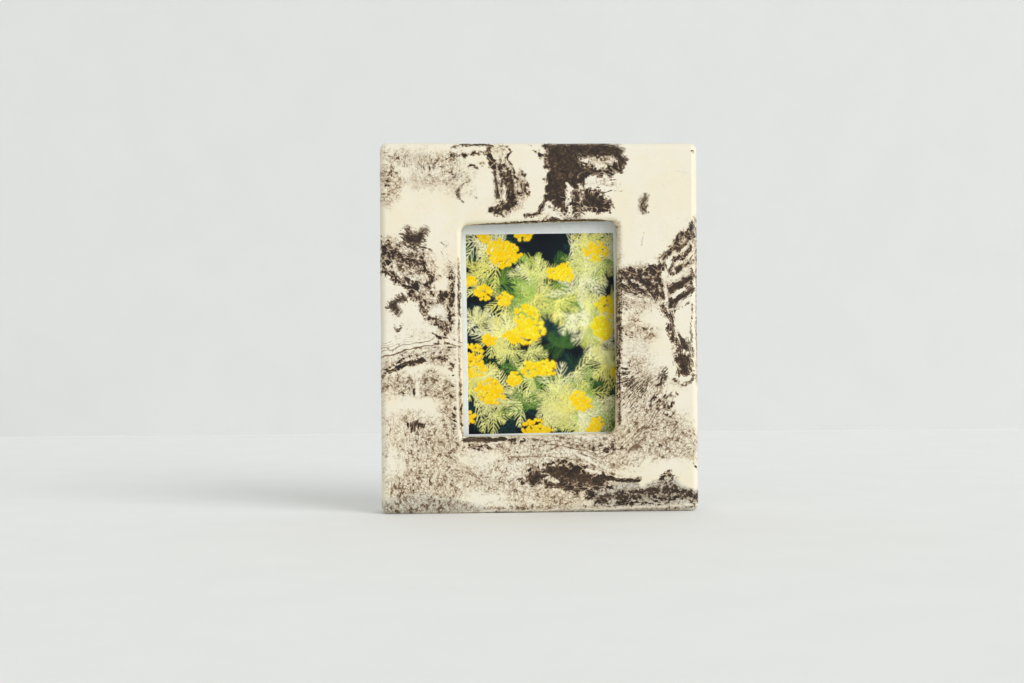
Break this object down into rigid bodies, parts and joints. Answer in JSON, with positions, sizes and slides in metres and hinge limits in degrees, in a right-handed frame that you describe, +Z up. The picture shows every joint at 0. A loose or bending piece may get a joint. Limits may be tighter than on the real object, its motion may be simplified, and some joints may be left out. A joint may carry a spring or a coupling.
{
  "type": "photo frame",
  "caption": "Marbled ceramic slab photo frame with a hand-cut window, an instant-film print in a rear rebate, and a backing board held by turn buttons.",
  "frame": {"origin": "on the floor, under the middle of the overall width and depth", "axes": "+Z up the frame's height, -Y out of the picture face, +X to the right as the picture is seen"},
  "size_m": [0.098, 0.0154, 0.114],
  "materials": {
    "ceramic": "cream and brown marbled clay under a satin clear glaze",
    "print": "glossy instant-film print with a white border",
    "filler": "grey card",
    "board": "brown hardboard",
    "brass": "satin brass",
    "bumper": "translucent soft polyurethane"
  },
  "bodies": {
    "frame": {"ceramic_frame": "ceramic", "instant_print": "print", "filler_card": "filler", "backing_board": "board", "socket_insert_upper_left": "brass", "pivot_screw_upper_left": "brass", "rear_bumper_upper_left": "bumper", "socket_insert_upper_right": "brass", "pivot_screw_upper_right": "brass", "rear_bumper_upper_right": "bumper", "socket_insert_lower_left": "brass", "pivot_screw_lower_left": "brass", "rear_bumper_lower_left": "bumper", "socket_insert_lower_right": "brass", "pivot_screw_lower_right": "brass", "rear_bumper_lower_right": "bumper"},
    "button_upper_left": {"turn_button_upper_left": "brass"},
    "button_upper_right": {"turn_button_upper_right": "brass"},
    "button_lower_left": {"turn_button_lower_left": "brass"},
    "button_lower_right": {"turn_button_lower_right": "brass"}
  },
  "joints": [
    {"name": "turn_upper_left", "type": "hinge", "parent": "frame", "child": "button_upper_left", "pos_m": [-0.0345, 0.0041, 0.0872], "axis": [0, 1, 0], "continuous": true},
    {"name": "turn_upper_right", "type": "hinge", "parent": "frame", "child": "button_upper_right", "pos_m": [0.0345, 0.0041, 0.0872], "axis": [0, 1, 0], "continuous": true},
    {"name": "turn_lower_left", "type": "hinge", "parent": "frame", "child": "button_lower_left", "pos_m": [-0.0345, 0.0041, 0.0352], "axis": [0, 1, 0], "continuous": true},
    {"name": "turn_lower_right", "type": "hinge", "parent": "frame", "child": "button_lower_right", "pos_m": [0.0345, 0.0041, 0.0352], "axis": [0, 1, 0], "continuous": true}
  ]
}
